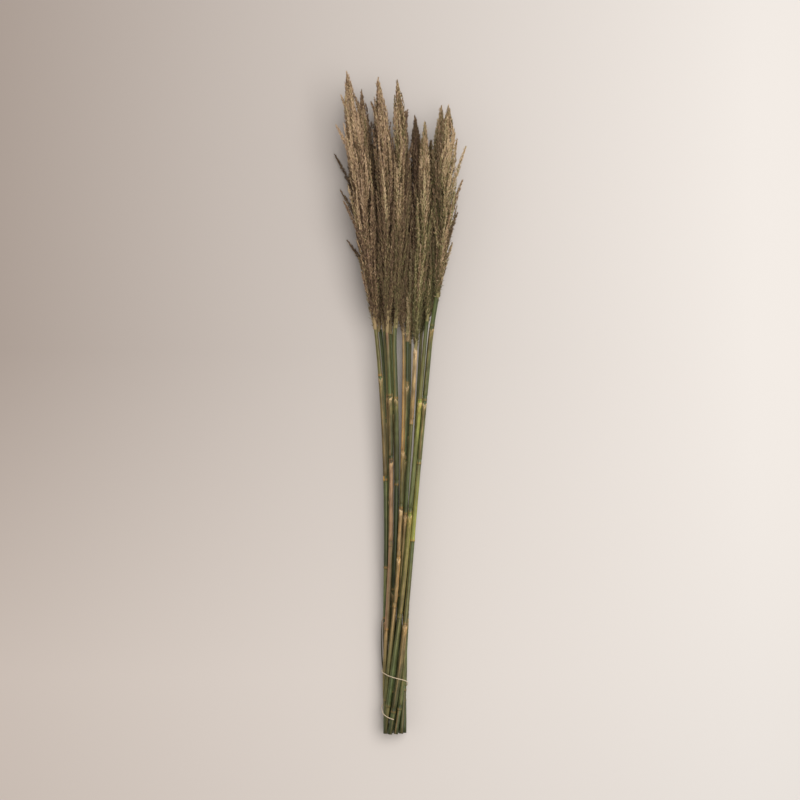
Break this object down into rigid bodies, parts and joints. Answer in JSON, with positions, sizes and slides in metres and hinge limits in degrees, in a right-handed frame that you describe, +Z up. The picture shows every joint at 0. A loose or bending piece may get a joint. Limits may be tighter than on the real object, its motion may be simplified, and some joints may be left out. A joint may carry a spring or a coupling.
{
  "type": "bundle of plume reed",
  "caption": "Long cut reeds with feathery seed plumes, dried and bound near their cut ends with a wound string, lying flat as a loose fanned bunch for decoration",
  "frame": {"origin": "centre of the bounding box across and along, at the height of its lowest point, which is the surface that the bundle lies on", "axes": "+Y runs along the bundle from the cut ends to the plume tips, +Z is up from the surface, and +X completes a right-handed set across the bundle"},
  "size_m": [0.216, 1.201, 0.1062],
  "materials": {
    "culm_green": "dried green reed stem, faintly glossy and finely grooved",
    "sheath_straw": "dry papery leaf sheath, satin, straw at the top and green lower down",
    "plume_brown": "matte dry spikelets, tan to purplish brown",
    "plume_olive": "matte dry spikelets, olive green to tan",
    "string_natural": "matte undyed twisted twine"
  },
  "bodies": {
    "root": {"culm_01": "culm_green", "culm_02": "culm_green", "culm_03": "culm_green", "culm_04": "culm_green", "culm_05": "culm_green", "culm_06": "culm_green", "culm_07": "culm_green", "culm_08": "culm_green", "culm_09": "culm_green", "culm_10": "culm_green", "culm_11": "culm_green", "culm_12": "culm_green", "culm_13": "culm_green", "leaf_sheath_01_1": "sheath_straw", "leaf_sheath_01_2": "sheath_straw", "leaf_sheath_02_1": "sheath_straw", "leaf_sheath_02_2": "sheath_straw", "leaf_sheath_03_1": "sheath_straw", "leaf_sheath_03_2": "sheath_straw", "leaf_sheath_04_1": "sheath_straw", "leaf_sheath_04_2": "sheath_straw", "leaf_sheath_05_1": "sheath_straw", "leaf_sheath_05_2": "sheath_straw", "leaf_sheath_05_3": "sheath_straw", "leaf_sheath_06_1": "sheath_straw", "leaf_sheath_06_2": "sheath_straw", "leaf_sheath_07_1": "sheath_straw", "leaf_sheath_07_2": "sheath_straw", "leaf_sheath_08_1": "sheath_straw", "leaf_sheath_08_2": "sheath_straw", "leaf_sheath_09_1": "sheath_straw", "leaf_sheath_09_2": "sheath_straw", "leaf_sheath_10_1": "sheath_straw", "leaf_sheath_10_2": "sheath_straw", "leaf_sheath_10_3": "sheath_straw", "leaf_sheath_11_1": "sheath_straw", "leaf_sheath_11_2": "sheath_straw", "leaf_sheath_12_1": "sheath_straw", "leaf_sheath_12_2": "sheath_straw", "leaf_sheath_13_1": "sheath_straw", "leaf_sheath_13_2": "sheath_straw", "plume_01": "plume_brown", "plume_02": "plume_brown", "plume_03": "plume_brown", "plume_04": "plume_brown", "plume_05": "plume_olive", "plume_06": "plume_olive", "plume_07": "plume_olive", "plume_08": "plume_olive", "plume_09": "plume_olive", "plume_10": "plume_olive", "plume_11": "plume_brown", "plume_12": "plume_brown", "plume_13": "plume_olive", "tie_knot": "string_natural", "tie_string": "string_natural"}
  },
  "joints": []
}
